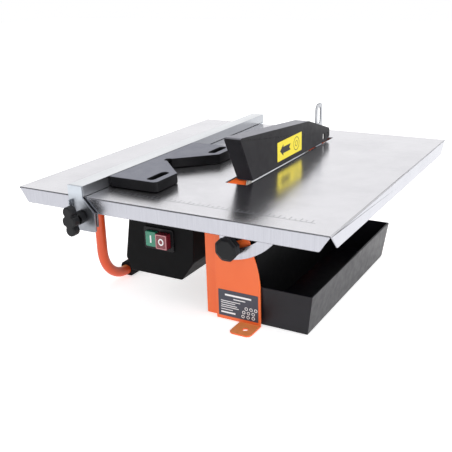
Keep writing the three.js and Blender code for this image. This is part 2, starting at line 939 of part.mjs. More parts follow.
piece('fence_clamp_plate', clampPlate(), zinc);
const jawFront = table.sheet + 0.6;
piece(
  'fence_jaw',
  carve(block([-97, jawFront, TOP - 29], [-70, jawFront + 2, TOP - 3]), {
    cut: [bar('y', clamp.x, clamp.z, clamp.stud + GAP, 0, 10, 20)],
  }),
  zinc,
);
piece(
  'fence_clamp_nut',
  nutOnY(clamp.x, clamp.z, 5, clamp.stud + GAP, jawFront + 2 + GAP, jawFront + 6),
  zinc,
);

/** Two-winged knob on the fence's clamp stud. */
function fenceKnob() {
  const { x, z } = clamp;
  const back = fence.front - GAP - 1.8 - GAP;
  const hub = back - 12.5;
  const lobe = 5.4;
  const reach = 8.9;
  const boss = 7.6;
  const wing = [
    ...arc(0, reach, lobe, -48, 228, 14),
    ...arc(0, 0, boss, 148, 212, 6),
    ...arc(0, -reach, lobe, 132, 408, 14),
    ...arc(0, 0, boss, -32, 32, 6),
  ];
  const lean = THREE.MathUtils.degToRad(-6);
  const wings = prism('y', wing, hub - 6.5, hub + 2).rotateY(lean).translate(x, 0, z);
  return carve(bar('y', x, z, 6.4, hub, back, 24), {
    join: [wings, bar('y', x, z, clamp.stud, back - 1, jawFront + 7, 20)],
  });
}

piece('fence_knob', fenceKnob(), blackPlastic);

/** Hook that keeps the fence's far end down behind the table. */
piece(
  'fence_rear_hook',
  carve(
    block(
      [fence.left, table.depth + 1, TOP - 19],
      [fenceRight, table.depth + 2.8, railLow - GAP],
    ),
    {
      join: [
        block(
          [fence.left, table.depth + 1, TOP - 1.4],
          [fenceRight, fence.back, railLow - GAP],
        ),
      ],
    },
  ),
  zinc,
);

// ---------------------------------------------------------------- angle guide

/** Plastic guide beside the fence: a right-angled notch and two slots. */
function angleGuide() {
  const low = TOP + guide.lift;
  const high = low + guide.thick;
  const middle = (guide.front + guide.back) / 2;
  const apex = guide.right - guide.notch;
  const relief = 4;
  const frontCorner = 3;
  const rearCorner = 8;
  const shape = [
    [guide.left, guide.front, 1],
    [guide.right - frontCorner, guide.front, 2],
    [guide.right, guide.front + frontCorner, 2],
    [guide.right, middle - guide.notch, 2],
    [apex + relief, middle - relief],
    [apex - 1, middle - relief, 3],
    [apex - 1, middle + relief, 3],
    [apex + relief, middle + relief],
    [guide.right, middle + guide.notch, 2],
    [guide.right, guide.back - rearCorner, 2],
    [guide.right - rearCorner, guide.back, 2],
    [guide.left, guide.back, 1],
  ];
  const slots = [-1, 1].map((side) => {
    const centre = middle + side * guideSlot.fromMiddle;
    const front = centre - guideSlot.half;
    const back = centre + guideSlot.half;
    return prism(
      'z',
      [
        [guideSlot.left, front, guideSlot.round],
        [guideSlot.right, front, guideSlot.round],
        [guideSlot.right, back, guideSlot.round],
        [guideSlot.left, back, guideSlot.round],
      ],
      low - 1,
      high + 1,
    );
  });
  return carve(prism('z', shape, low, high), { cut: slots });
}

piece('angle_guide', angleGuide(), blackPlastic);

// ---------------------------------------------------------------- origin

const extent = new THREE.Box3().setFromObject(object, true);
const middle = extent.getCenter(new THREE.Vector3());
for (const mesh of object.children) {
  mesh.position.set(-middle.x, -middle.y, -extent.min.z);
}

export default object;
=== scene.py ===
import math

import bmesh
import bpy
from mathutils import Matrix, Vector


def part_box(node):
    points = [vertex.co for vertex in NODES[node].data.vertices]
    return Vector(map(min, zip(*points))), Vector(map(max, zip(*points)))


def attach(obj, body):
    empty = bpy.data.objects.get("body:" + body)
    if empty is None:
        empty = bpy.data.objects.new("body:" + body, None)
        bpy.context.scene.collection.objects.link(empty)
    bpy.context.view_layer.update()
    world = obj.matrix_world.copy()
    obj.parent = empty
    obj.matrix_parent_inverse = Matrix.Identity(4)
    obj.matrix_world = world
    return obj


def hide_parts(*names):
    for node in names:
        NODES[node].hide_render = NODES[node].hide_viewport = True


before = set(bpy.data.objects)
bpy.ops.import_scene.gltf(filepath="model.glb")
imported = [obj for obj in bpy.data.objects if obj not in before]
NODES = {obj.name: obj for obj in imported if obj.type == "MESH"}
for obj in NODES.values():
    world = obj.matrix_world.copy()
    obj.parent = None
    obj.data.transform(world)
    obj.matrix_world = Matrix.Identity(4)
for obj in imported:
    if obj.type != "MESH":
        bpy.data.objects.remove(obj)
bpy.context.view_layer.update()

MM = 0.001


# ---------------------------------------------------------------- places taken from the frame

def low(node):
    """A node's lowest corner."""
    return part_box(node)[0]


def high(node):
    """A node's highest corner."""
    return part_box(node)[1]


def middle(node):
    """The centre of a node's box."""
    return (low(node) + high(node)) / 2


TABLE_TOP = high("table_top").z


# ---------------------------------------------------------------- material helpers

def linear(hex_colour):
    """A six-digit sRGB colour as linear red, green, blue and alpha."""
    channels = [int(hex_colour[i : i + 2], 16) / 255 for i in (0, 2, 4)]
    return (*[c / 12.92 if c <= 0.04045 else ((c + 0.055) / 1.055) ** 2.4 for c in channels], 1)


class Finish:
    """A Principled material whose colour, roughness and bump are built up step by step."""

    def __init__(self, name, colour, roughness, metallic=0.0, **sockets):
        self.material = bpy.data.materials.new(name)
        self.material.use_nodes = True
        self.tree = self.material.node_tree
        self.shader = self.tree.nodes["Principled BSDF"]
        self.colour = linear(colour)
        self.shader.inputs["Base Color"].default_value = self.colour
        self.shader.inputs["Roughness"].default_value = roughness
        self.shader.inputs["Metallic"].default_value = metallic
        for socket, value in sockets.items():
            self.shader.inputs[socket.replace("_", " ")].default_value = value
        self.coordinates = self.node("ShaderNodeTexCoord").outputs["Object"]
        self.normal = None

    def node(self, kind, **settings):
        made = self.tree.nodes.new(kind)
        for setting, value in settings.items():
            setattr(made, setting, value)
        return made

    def link(self, source, target):
        self.tree.links.new(source, target)

    def noise(self, size, detail=3.0, stretch=(1, 1, 1)):
        """Noise whose features are about `size` metres across, longer where stretch is above 1."""
        mapping = self.node("ShaderNodeMapping")
        mapping.inputs["Scale"].default_value = [1 / (size * s) for s in stretch]
        texture = self.node("ShaderNodeTexNoise")
        texture.inputs["Scale"].default_value = 1
        texture.inputs["Detail"].default_value = detail
        self.link(self.coordinates, mapping.inputs["Vector"])
        self.link(mapping.outputs["Vector"], texture.inputs["Vector"])
        return texture.outputs["Fac"]

    def spread(self, source, low_value, high_value, start=0.3, end=0.7):
        """Maps a noise's middle part onto a range of values."""
        made = self.node("ShaderNodeMapRange")
        for socket, value in zip(
            ("From Min", "From Max", "To Min", "To Max"), (start, end, low_value, high_value)
        ):
            made.inputs[socket].default_value = value
        self.link(source, made.inputs["Value"])
        return made.outputs["Result"]

    def tint(self, source, colour, most=1.0, start=0.3, end=0.7):
        """Blends towards another colour where the source is high."""
        mix = self.node("ShaderNodeMix", data_type="RGBA")
        factor = self.spread(source, 0, most, start, end)
        self.link(factor, mix.inputs["Factor"])
        base = self.shader.inputs["Base Color"]
        if base.is_linked:
            self.link(base.links[0].from_socket, mix.inputs["A"])
        else:
            mix.inputs["A"].default_value = self.colour
        mix.inputs["B"].default_value = linear(colour)
        self.link(mix.outputs["Result"], base)
        return self

    def rough(self, source, smooth, coarse):
        """Roughness that follows the source."""
        self.link(self.spread(source, smooth, coarse), self.shader.inputs["Roughness"])
        return self

    def bump(self, source, depth, strength=1.0):
        """Adds relief of a depth in metres."""
        made = self.node("ShaderNodeBump")
        made.inputs["Distance"].default_value = depth
        made.inputs["Strength"].default_value = strength
        self.link(source, made.inputs["Height"])
        if self.normal is not None:
            self.link(self.normal, made.inputs["Normal"])
        self.normal = made.outputs["Normal"]
        self.link(self.normal, self.shader.inputs["Normal"])
        return self

    def facing(self, axis):
        """How far the surface faces along an axis: 1 with it, 0 across it, -1 against it."""
        split = self.node("ShaderNodeSeparateXYZ")
        direction = self.node("ShaderNodeTexCoord").outputs["Normal"]
        self.link(direction, split.inputs["Vector"])
        return split.outputs[axis]

    def height(self):
        """0 at the node's lowest point, 1 at its highest."""
        split = self.node("ShaderNodeSeparateXYZ")
        self.link(self.node("ShaderNodeTexCoord").outputs["Generated"], split.inputs["Vector"])
        return split.outputs["Z"]

    def product(self, first, second):
        """Two sources multiplied."""
        made = self.node("ShaderNodeMath", operation="MULTIPLY")
        self.link(first, made.inputs[0])
        self.link(second, made.inputs[1])
        return made.outputs[0]

    def edges(self, radius):
        """High where the surface turns within a radius: on edges and in corners."""
        rounded = self.node("ShaderNodeBevel", samples=4)
        rounded.inputs["Radius"].default_value = radius
        flat = self.node("ShaderNodeNewGeometry").outputs["Normal"]
        dot = self.node("ShaderNodeVectorMath", operation="DOT_PRODUCT")
        self.link(rounded.outputs["Normal"], dot.inputs[0])
        self.link(flat, dot.inputs[1])
        invert = self.node("ShaderNodeMath", operation="SUBTRACT")
        invert.inputs[0].default_value = 1
        self.link(dot.outputs["Value"], invert.inputs[1])
        return invert.outputs[0]


# ---------------------------------------------------------------- materials

def zinc_sheet():
    """Bright zinc plate: rolled grain, smudges, dull spangle; painted shade on faces that don't look up
    and a painted dark reflection along the front fold.
    """
    made = Finish("zinc_sheet", "e6e5e8", 0.24, 1.0, Anisotropic=0.35)
    rolled = made.noise(0.4 * MM, 4, stretch=(1, 40, 1))
    smudge = made.noise(45 * MM, 3)
    spangle = made.noise(6 * MM, 2)
    made.tint(smudge, "dad9dd", 0.5).tint(spangle, "eceaee", 0.35)
    # painted shade: faces that don't look up are darkened, the flanges most
    made.tint(made.facing("Z"), "a2a3ab", 0.9, 0.8, 0.3)
    streak = made.noise(1.6 * MM, 4, stretch=(1, 1, 30))
    made.tint(streak, "d9dade", 0.2)
    # painted dark reflection: a dark line on the rounded front fold, where it faces forward and up
    front_fold_dark_reflection = made.product(made.facing("Y"), made.facing("Z"))
    made.tint(front_fold_dark_reflection, "4d4f55", 0.8, -0.12, -0.4)
    made.rough(smudge, 0.18, 0.26)
    made.bump(rolled, 0.004 * MM, 0.25).bump(made.noise(0.5 * MM), 0.006 * MM, 0.3)
    return made.material


def plated(name, colour, roughness):
    """Dull zinc plate on small pressed pieces, with painted light making them paler towards their tops."""
    made = Finish(name, colour, roughness, 1.0)
    made.tint(made.noise(7 * MM), "7c7f85", 0.6)
    # painted light: paler towards the top of each piece
    made.tint(made.height(), "c6cdd4", 0.85, 0.5, 0.85)
    made.rough(made.noise(4 * MM), roughness - 0.05, roughness + 0.08)
    made.bump(made.noise(0.5 * MM), 0.006 * MM, 0.4)
    return made.material


def orange_paint(name, colour, shade):
    """Powder coat: slight orange peel, paler on edges, and painted light making faces that look up paler.
    """
    made = Finish(name, colour, 0.42, Coat_Weight=0.04, Coat_Roughness=0.2)
    made.tint(made.noise(30 * MM), shade, 0.45)
    # painted light: faces that look up are made paler orange
    made.tint(made.facing("Z"), "ffa25a", 0.9, 0.85, 1.0)
    made.tint(made.edges(1.2 * MM), "f79258", 0.5, 0.03, 0.25)
    made.rough(made.noise(12 * MM), 0.36, 0.46)
    made.bump(made.noise(1.1 * MM, 2), 0.02 * MM, 0.5)
    return made.material


def moulded(name, colour, roughness, grain, light="4a4a4f", top=None, **sockets):
    """Black moulded plastic: spark grain, faint flow marks, paler worn edges, and a painted sheen making
    the top paler where a top colour is given.
    """
    made = Finish(name, colour, roughness, **sockets)
    made.tint(made.noise(25 * MM), light, 0.10)
    if top:
        # painted sheen: faces that look up are made paler
        made.tint(made.facing("Z"), top, 0.9, 0.75, 0.98)
        made.tint(made.noise(0.7 * MM, 1), colour, 0.25, 0.5, 0.75)
    made.tint(made.edges(0.9 * MM), light, 0.55, 0.04, 0.3)
    made.rough(made.noise(8 * MM), roughness - 0.05, roughness + 0.06)
    made.bump(made.noise(0.45 * MM, 2), grain, 0.6)
    return made.material


def machined(name, colour, roughness):
    """Turned or ground bright steel, with fine tool marks."""
    made = Finish(name, colour, roughness, 1.0, Anisotropic=0.3)
    made.tint(made.noise(9 * MM), "8f9196", 0.25)
    made.rough(made.noise(5 * MM), roughness - 0.05, roughness + 0.08)
    made.bump(made.noise(0.25 * MM, 2, stretch=(1, 1, 12)), 0.003 * MM, 0.4)
    return made.material


def anodised():
    """Satin extrusion with draw lines along its length, and painted shade darkening the faces that don't
    look up.
    """
    made = Finish("fence_aluminium", "eceef0", 0.30, 1.0, Anisotropic=0.4)
    made.tint(made.noise(40 * MM), "dfe2e5", 0.6)
    # painted shade: faces that don't look up are darkened
    made.tint(made.facing("Z"), "a6a9ae", 0.9, 0.8, 0.3)
    made.bump(made.noise(0.25 * MM, 3, stretch=(1, 120, 1)), 0.003 * MM, 0.35)
    made.rough(made.noise(20 * MM, stretch=(1, 6, 1)), 0.26, 0.36)
    return made.material


def cast(name, colour, roughness, grain):
    """Cast or pressed metal with a sandy skin."""
    made = Finish(name, colour, roughness, 0.9)
    made.tint(made.noise(4 * MM), "5a5c60", 0.4)
    made.bump(made.noise(0.8 * MM, 3), grain, 0.6)
    return made.material


def laminations():
    """Stacked steel sheets across the motor's axis."""
    made = Finish("lamination", "6a6c70", 0.5, 0.8)
    bands = made.node("ShaderNodeTexWave", wave_type="BANDS", bands_direction="X")
    bands.inputs["Scale"].default_value = 320
    made.link(made.coordinates, bands.inputs["Vector"])
    made.tint(bands.outputs["Fac"], "3c3d40", 0.7)
    made.bump(bands.outputs["Fac"], 0.05 * MM, 0.5)
    return made.material


def glossy(name, colour, light):
    """Hard glossy plastic of a button, a little cloudy inside."""
    made = Finish(name, colour, 0.22, Coat_Weight=0.4, Coat_Roughness=0.08)
    made.tint(made.noise(3 * MM), light, 0.35)
    made.tint(made.edges(0.5 * MM), light, 0.6, 0.04, 0.3)
    made.bump(made.noise(0.9 * MM), 0.01 * MM, 0.3)
    return made.material


def printed(name, colour, shade, roughness=0.45):
    """Ink or film on a label, with a slight mottle."""
    made = Finish(name, colour, roughness)
    made.tint(made.noise(2 * MM), shade, 0.4)
    made.bump(made.noise(0.6 * MM, 2), 0.004 * MM, 0.4)
    return made.material


def diamond_rim():
    """Sintered blade rim: metal bond full of grit."""
    made = Finish("diamond_rim", "8d8a84", 0.7, 0.6)
    grit = made.noise(0.35 * MM, 1)
    made.tint(grit, "c9c6bd", 0.7, 0.5, 0.7)
    made.bump(grit, 0.08 * MM, 0.8)
    return made.material


ZINC = zinc_sheet()
ORANGE = orange_paint("orange_paint", "ee6c30", "e86228")
# painted shade: a darker copy of the orange paint for the tube, which sits in shadow
SHADED_TUBE_ORANGE = orange_paint("tube_paint_shaded", "da5020", "d0481a")
# the guard's and guide's top colours are painted sheen on their upper faces
GUARD_BLACK = moulded("guard_black", "161518", 0.36, 0.012 * MM, top="8b8b93", Specular_IOR_Level=0.12)
GUIDE_BLACK = moulded("guide_black", "0c0c0e", 0.42, 0.03 * MM, top="7d7f8a", Specular_IOR_Level=0.15)
BOX_BLACK = moulded("box_black", "080809", 0.5, 0.02 * MM, light="202023", Specular_IOR_Level=0.08)
KNOB_BLACK = moulded("knob_black", "111214", 0.42, 0.02 * MM, light="34353a", Specular_IOR_Level=0.22)
TRAY_BLACK = moulded("tray_black", "0d0b12", 0.38, 0.015 * MM, light="34333c", Specular_IOR_Level=0.32)
SWITCH_BLACK = moulded("switch_black", "0c0c0e", 0.3, 0.006 * MM, light="26262b", Specular_IOR_Level=0.2)
RUBBER = moulded("rubber", "101012", 0.8, 0.05 * MM, light="2b2b2e", Specular_IOR_Level=0.2)
PLATED = plated("plated_parts", "94979d", 0.34)
PALE_INSERT = printed("pale_insert", "f4f4f2", "e2e2e0", 0.4)
BRIGHT_STEEL = machined("bright_steel", "c6c8cb", 0.26)
BLADE_STEEL = machined("blade_steel", "b4b6ba", 0.3)
FASTENER = machined("zinc_fastener", "c9cbcd", 0.32)
ALUMINIUM = anodised()
CAN = machined("can_aluminium", "d5d7da", 0.38)
CAST = cast("cast_aluminium", "a5a7ab", 0.55, 0.05 * MM)
LAMINATION = laminations()
GREEN = glossy("green_button", "14775a", "2f9c7c")
RED = glossy("red_button", "6b1420", "8c2634")
WHITE_INK = printed("white_ink", "f1f1f1", "dcdcdc")
PALE_RED_INK = printed("pale_red_ink", "d99aa0", "c98a90")
BLACK_INK = printed("black_ink", "161616", "242424", 0.5)
LABEL_GREY = printed("label_grey", "3a3c48", "444653", 0.4)
LABEL_YELLOW = printed("label_yellow", "f2df2e", "ead526", 0.4)
SCALE_INK = printed("scale_ink", "54565c", "66686e", 0.5)
RIM = diamond_rim()

NODE_FINISH = {
    "table_top": ZINC,
    "quadrant_front": ZINC,
    "quadrant_rear": ZINC,
    "front_leg_plate": ORANGE,
    "rear_leg_plate": ORANGE,
    "side_plate": ORANGE,
    "knife_bracket": ORANGE,
    "splash_shield": BOX_BLACK,
    "hinge_pin_front": BRIGHT_STEEL,
    "hinge_pin_rear": BRIGHT_STEEL,
    "bevel_nut_front": FASTENER,
    "bevel_nut_rear": FASTENER,
    "bevel_knob_front": KNOB_BLACK,
    "bevel_knob_rear": KNOB_BLACK,
    "motor_box": BOX_BLACK,
    "motor_box_lid": BOX_BLACK,
    "switch_housing": SWITCH_BLACK,
    "cable_gland": BOX_BLACK,
    "tube_foot_front": RUBBER,
    "tube_foot_rear": RUBBER,
    "start_button": GREEN,
    "stop_button": RED,
    "stator": LAMINATION,
    "rotor_core": LAMINATION,
    "end_shield_left": CAST,
    "end_shield_right": CAST,
    "bearing_left": BRIGHT_STEEL,
    "bearing_right": BRIGHT_STEEL,
    "motor_shaft": BRIGHT_STEEL,
    "inner_flange": BRIGHT_STEEL,
    "outer_flange": BRIGHT_STEEL,
    "cooling_fan": BOX_BLACK,
    "capacitor": CAN,
    "arbor_nut": FASTENER,
    "riving_knife": BLADE_STEEL,
    "knife_bolt": FASTENER,
    "blade_guard": GUARD_BLACK,
    "guard_pin": KNOB_BLACK,
    "water_tray": TRAY_BLACK,
    "fence_rail": ALUMINIUM,
    "fence_clamp_plate": PLATED,
    "fence_jaw": PLATED,
    "fence_clamp_nut": FASTENER,
    "fence_rear_hook": PLATED,
    "fence_knob": KNOB_BLACK,
    "angle_guide": GUIDE_BLACK,
}

# Edge rounding in millimetres; what isn't listed gets the default.
EDGE_DEFAULT = 0.25
EDGE = {
    "table_top": 1.0,
    "front_leg_plate": 0.4,
    "rear_leg_plate": 0.4,
    "bevel_knob_front": 0.9,
    "bevel_knob_rear": 0.9,
    "motor_box": 1.2,
    "motor_box_lid": 0.8,
    "tube_foot_front": 0.8,
    "tube_foot_rear": 0.8,
    "start_button": 0.6,
    "stop_button": 0.6,
    "blade_guard": 0.7,
    "water_tray": 0.7,
    "fence_rail": 0.35,
    "fence_knob": 1.4,
    "angle_guide": 0.9,
    "riving_knife": 0.3,
}


# A face with a long hole in it can't become one polygon, so these keep their triangles.
TRIANGULATED = {"table_top", "angle_guide"}


def dress(name, finish):
    """Gives a CAD node its finish, with rounded edges and smooth shading."""
    node = NODES[name]
    mesh = node.data
    mesh.materials.clear()
    mesh.materials.append(finish)
    if "custom_normal" in mesh.attributes:
        mesh.attributes.remove(mesh.attributes["custom_normal"])
    mesh.polygons.foreach_set("use_smooth", [True] * len(mesh.polygons))
    weld = node.modifiers.new("weld", "WELD")
    weld.merge_threshold = 0.001 * MM
    if name not in TRIANGULATED:
        flat = node.modifiers.new("flat_faces", "DECIMATE")
        flat.decimate_type = "DISSOLVE"
        flat.angle_limit = math.radians(0.5)
    edge = node.modifiers.new("edges", "BEVEL")
    edge.width = EDGE.get(name, EDGE_DEFAULT) * MM
    edge.segments = 3
    edge.limit_method = "ANGLE"
    edge.angle_limit = math.radians(32)
    edge.use_clamp_overlap = False
    edge.harden_normals = True
    edge.miter_outer = "MITER_ARC"


# ---------------------------------------------------------------- piece helpers

def new_piece(name, mesh_data, finish, body):
    """Links a mesh as a piece that rides on a body."""
    made = bpy.data.objects.new(name, mesh_data)
    bpy.context.scene.collection.objects.link(made)
    made.data.materials.append(finish)
    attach(made, body)
    return made


def from_bmesh(bm, name, smooth=False):
    """Turns a bmesh into mesh data with outward normals."""
    bmesh.ops.recalc_face_normals(bm, faces=bm.faces)
    made = bpy.data.meshes.new(name)
    bm.to_mesh(made)
    bm.free()
    if smooth:
        made.polygons.foreach_set("use_smooth", [True] * len(made.polygons))
    return made


def plate(bm, origin, right, up, points, thick):
    """Adds a flat plate: points lie in the plane of right and up, its back face at the origin."""
    out = right.cross(up)
    rings = [
        [bm.verts.new(origin + right * a + up * b + out * depth) for a, b in points]
        for depth in (0, thick)
    ]
    bm.faces.new(reversed(rings[0]))
    bm.faces.new(rings[1])
    for k in range(len(points)):
        following = (k + 1) % len(points)
        bm.faces.new((rings[0][k], rings[0][following], rings[1][following], rings[1][k]))


def rectangle(a0, b0, a1, b1, radius=0.0, steps=5):
    """A rectangle's corners in order, rounded where a radius is given."""
    if not radius:
        return [(a0, b0), (a1, b0), (a1, b1), (a0, b1)]
    corners = [
        (a1 - radius, b0 + radius, -90),
        (a1 - radius, b1 - radius, 0),
        (a0 + radius, b1 - radius, 90),
        (a0 + radius, b0 + radius, 180),
    ]
    return [
        (
            a + radius * math.cos(math.radians(start + 90 * k / steps)),
            b + radius * math.sin(math.radians(start + 90 * k / steps)),
        )
        for a, b, start in corners
        for k in range(steps + 1)
    ]


def ring(bm, origin, right, up, outer, inner, thick, stretch=1.0, sides=40):
    """Adds a flat ring, as a round tube of rectangular section; stretch makes it oval."""
    out = right.cross(up)
    profile = ((inner, 0), (outer, 0), (outer, thick), (inner, thick))
    loops = []
    for k in range(sides):
        angle = 2 * math.pi * k / sides
        spoke = right * math.cos(angle) + up * math.sin(angle) * stretch
        loops.append([bm.verts.new(origin + spoke * radius + out * depth) for radius, depth in profile])
    for k in range(sides):
        here, there = loops[k], loops[(k + 1) % sides]
        for i in range(4):
            j = (i + 1) % 4
            bm.faces.new((here[i], there[i], there[j], here[j]))


X, Y, Z = Vector((1, 0, 0)), Vector((0, 1, 0)), Vector((0, 0, 1))


# ---------------------------------------------------------------- table scale

def table_scale():
    """Printed millimetre scale along the table's front edge."""
    front = low("table_top").y + 24 * MM
    first, last, step = -72, 142, 5
    long_tick, short_tick, half_width = 6 * MM, 3.6 * MM, 0.2 * MM
    line_gap, line_width, ink = 1.2 * MM, 0.35 * MM, 0.04 * MM
    bm = bmesh.new()
    for k in range((last - first) // step + 1):
        tick = short_tick if k % 2 else long_tick
        at = Vector(((first + k * step) * MM, front, TABLE_TOP))
        plate(bm, at, X, Y, rectangle(-half_width, 0, half_width, tick), ink)
    at = Vector((0, front - line_gap, TABLE_TOP))
    plate(bm, at, X, Y, rectangle(first * MM, 0, last * MM, line_width), ink)
    new_piece("table_scale", from_bmesh(bm, "table_scale"), SCALE_INK, "table")


# ---------------------------------------------------------------- guard marks

def guard_marks():
    """Yellow direction label with a black arrow and two rings."""
    face = Vector((high("blade_guard").x, 0, TABLE_TOP))
    label_left = low("blade_guard").y + 78.5 * MM
    label_right = label_left + 61 * MM
    label_low, label_high = 6.5 * MM, 27 * MM
    film, ink, corner = 0.15 * MM, 0.05 * MM, 0.8 * MM
    bm = bmesh.new()
    plate(bm, face, Y, Z, rectangle(label_left, label_low, label_right, label_high, corner), film)
    new_piece("guard_label", from_bmesh(bm, "guard_label"), LABEL_YELLOW, "guard")

    on_film = face + X * film
    centre = (label_low + label_high) / 2
    arrow = [(-4, 0), (4, -6.2), (4, -3.4), (22, -3.4), (18.6, 0), (22, 3.4), (4, 3.4), (4, 6.2)]
    arrow_start = label_left + 10 * MM
    hub = on_film + Y * (arrow_start + 37 * MM) + Z * centre
    bm = bmesh.new()
    plate(bm, on_film, Y, Z, [(arrow_start + a * MM, centre + b * MM) for a, b in arrow], ink)
    for outer, inner in ((7.4 * MM, 6.7 * MM), (3.2 * MM, 2.6 * MM)):
        ring(bm, hub, Y, Z, outer, inner, ink)
    new_piece("guard_label_marks", from_bmesh(bm, "guard_label_marks"), BLACK_INK, "guard")


def guard_slot_insert():
    """Pale strip set into the guard's small rear slot, just under its right face."""
    guard_low, guard_high = low("blade_guard"), high("blade_guard")
    recess, from_back, above_bottom = 1.2 * MM, 18.25 * MM, 6.8 * MM
    half_length, half_height, corner, thick = 1.95 * MM, 3.5 * MM, 1.5 * MM, 0.2 * MM
    place = Vector((guard_high.x - recess, guard_high.y - from_back, guard_low.z + above_bottom))
    outline = rectangle(-half_length, -half_height, half_length, half_height, corner)
    bm = bmesh.new()
    plate(bm, place, Y, Z, outline, thick)
    new_piece("guard_slot_insert", from_bmesh(bm, "guard_slot_insert"), PALE_INSERT, "guard")


# ---------------------------------------------------------------- rating label

def rating_label():
    """Dark label low on the front leg, with plain bars and rings in place of its words."""
    tab_length, margin = 25 * MM, 2.4 * MM
    left, right = low("water_tray").x, high("front_leg_plate").x - margin
    face = Vector((0, low("front_leg_plate").y + tab_length, 0))
    low_edge, high_edge = 5 * MM, 35 * MM
    film, ink, corner = 0.2 * MM, 0.05 * MM, 0.8 * MM
    ring_outer, ring_inner = 1.9 * MM, 1.2 * MM
    bm = bmesh.new()
    plate(bm, face, X, Z, rectangle(left, low_edge, right, high_edge, corner), film)
    new_piece("rating_label", from_bmesh(bm, "rating_label"), LABEL_GREY, "base")

    on_film = face - Y * film
    bars = [
        (8, 28.6, 39, 30.6), (18, 25.2, 32, 26.2), (3, 22.0, 26, 22.8), (3, 19.8, 20, 20.6),
        (3, 17.2, 22, 18.0), (3, 15.0, 24, 15.8), (3, 12.2, 17, 13.0), (3, 8.4, 20, 10.2),
    ]
    rings = [
        (33, 18), (38.5, 18), (44, 18),
        (30, 13.4), (35.5, 13.4), (41, 13.4),
        (29, 8.6), (35, 8.6), (41, 8.6),
    ]
    bm = bmesh.new()
    for x0, z0, x1, z1 in bars:
        outline = rectangle(left + x0 * MM, z0 * MM, left + x1 * MM, z1 * MM)
        plate(bm, on_film, X, Z, outline, ink)
    for x, z in rings:
        centre = on_film + X * (left + x * MM) + Z * z * MM
        ring(bm, centre, X, Z, ring_outer, ring_inner, ink, sides=24)
    new_piece("rating_label_marks", from_bmesh(bm, "rating_label_marks"), WHITE_INK, "base")


# ---------------------------------------------------------------- button marks

def button_marks():
    """White bar on the start button; white ring and pale border on the stop button."""
    green, red = middle("start_button"), middle("stop_button")
    mark, film = 0.08 * MM, 0.07 * MM
    bar_half_width, bar_half_height, bar_corner = 0.9 * MM, 4.2 * MM, 0.4 * MM
    ring_outer, ring_inner = 3.4 * MM, 2.1 * MM
    margin, line = 0.7 * MM, 0.6 * MM

    face = Vector((green.x, low("start_button").y, green.z))
    outline = rectangle(-bar_half_width, -bar_half_height, bar_half_width, bar_half_height, bar_corner)
    bm = bmesh.new()
    plate(bm, face, X, Z, outline, mark)
    new_piece("start_mark", from_bmesh(bm, "start_mark"), WHITE_INK, "start_button")

    face = Vector((red.x, low("stop_button").y, red.z))
    bm = bmesh.new()
    ring(bm, face, X, Z, ring_outer, ring_inner, mark, stretch=1.15)
    new_piece("stop_mark", from_bmesh(bm, "stop_mark"), WHITE_INK, "stop_button")

    wide = (high("stop_button").x - low("stop_button").x) / 2 - margin
    tall = (high("stop_button").z - low("stop_button").z) / 2 - margin
    sides = (
        (-wide, tall - line, wide, tall),
        (-wide, -tall, wide, line - tall),
        (-wide, line - tall, line - wide, tall - line),
        (wide - line, line - tall, wide, tall - line),
    )
    bm = bmesh.new()
    for x0, z0, x1, z1 in sides:
        plate(bm, face, X, Z, rectangle(x0, z0, x1, z1), film)
    new_piece("stop_border", from_bmesh(bm, "stop_border"), PALE_RED_INK, "stop_button")


# ---------------------------------------------------------------- blade

def diamond_blade():
    """Thin steel disc with a thicker, slotted diamond rim."""
    centre = middle("blade")
    radius = (high("blade").z - low("blade").z) / 2
    rim_half = (high("blade").x - low("blade").x) / 2
    core_half = rim_half - 0.3 * MM
    bore, rim_inner = 11.4 * MM, radius - 7 * MM
    segments, gap_share = 18, 0.06

    def spoke(angle, distance, across):
        return centre + X * across + (Y * math.cos(angle) + Z * math.sin(angle)) * distance

    bm = bmesh.new()
    sides = 144
    loops = []
    for k in range(sides):
        angle = 2 * math.pi * k / sides
        profile = (
            (bore, -core_half), (rim_inner + 1 * MM, -core_half),
            (rim_inner + 1 * MM, core_half), (bore, core_half),
        )
        loops.append([bm.verts.new(spoke(angle, distance, across)) for distance, across in profile])
    for k in range(sides):
        here, there = loops[k], loops[(k + 1) % sides]
        for i in range(4):
            j = (i + 1) % 4
            bm.faces.new((here[i], there[i], there[j], here[j]))
    disc = new_piece("blade_disc", from_bmesh(bm, "blade_disc"), BLADE_STEEL, "rotor")
    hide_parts("blade")

    bm = bmesh.new()
    pitch = 2 * math.pi / segments
    steps = 8
    for s in range(segments):
        start = s * pitch + pitch * gap_share / 2
        span = pitch * (1 - gap_share)
        rows = []
        for k in range(steps + 1):
            angle = start + span * k / steps
            rows.append([
                bm.verts.new(spoke(angle, distance, across))
                for distance, across in (
                    (rim_inner, -rim_half), (radius, -rim_half), (radius, rim_half), (rim_inner, rim_half),
                )
            ])
        bm.faces.new(rows[0])
        bm.faces.new(reversed(rows[-1]))
        for k in range(steps):
            for i in range(4):
                j = (i + 1) % 4
                bm.faces.new((rows[k][i], rows[k + 1][i], rows[k + 1][j], rows[k][j]))
    new_piece("blade_rim", from_bmesh(bm, "blade_rim"), RIM, "rotor")


# ---------------------------------------------------------------- frame tube

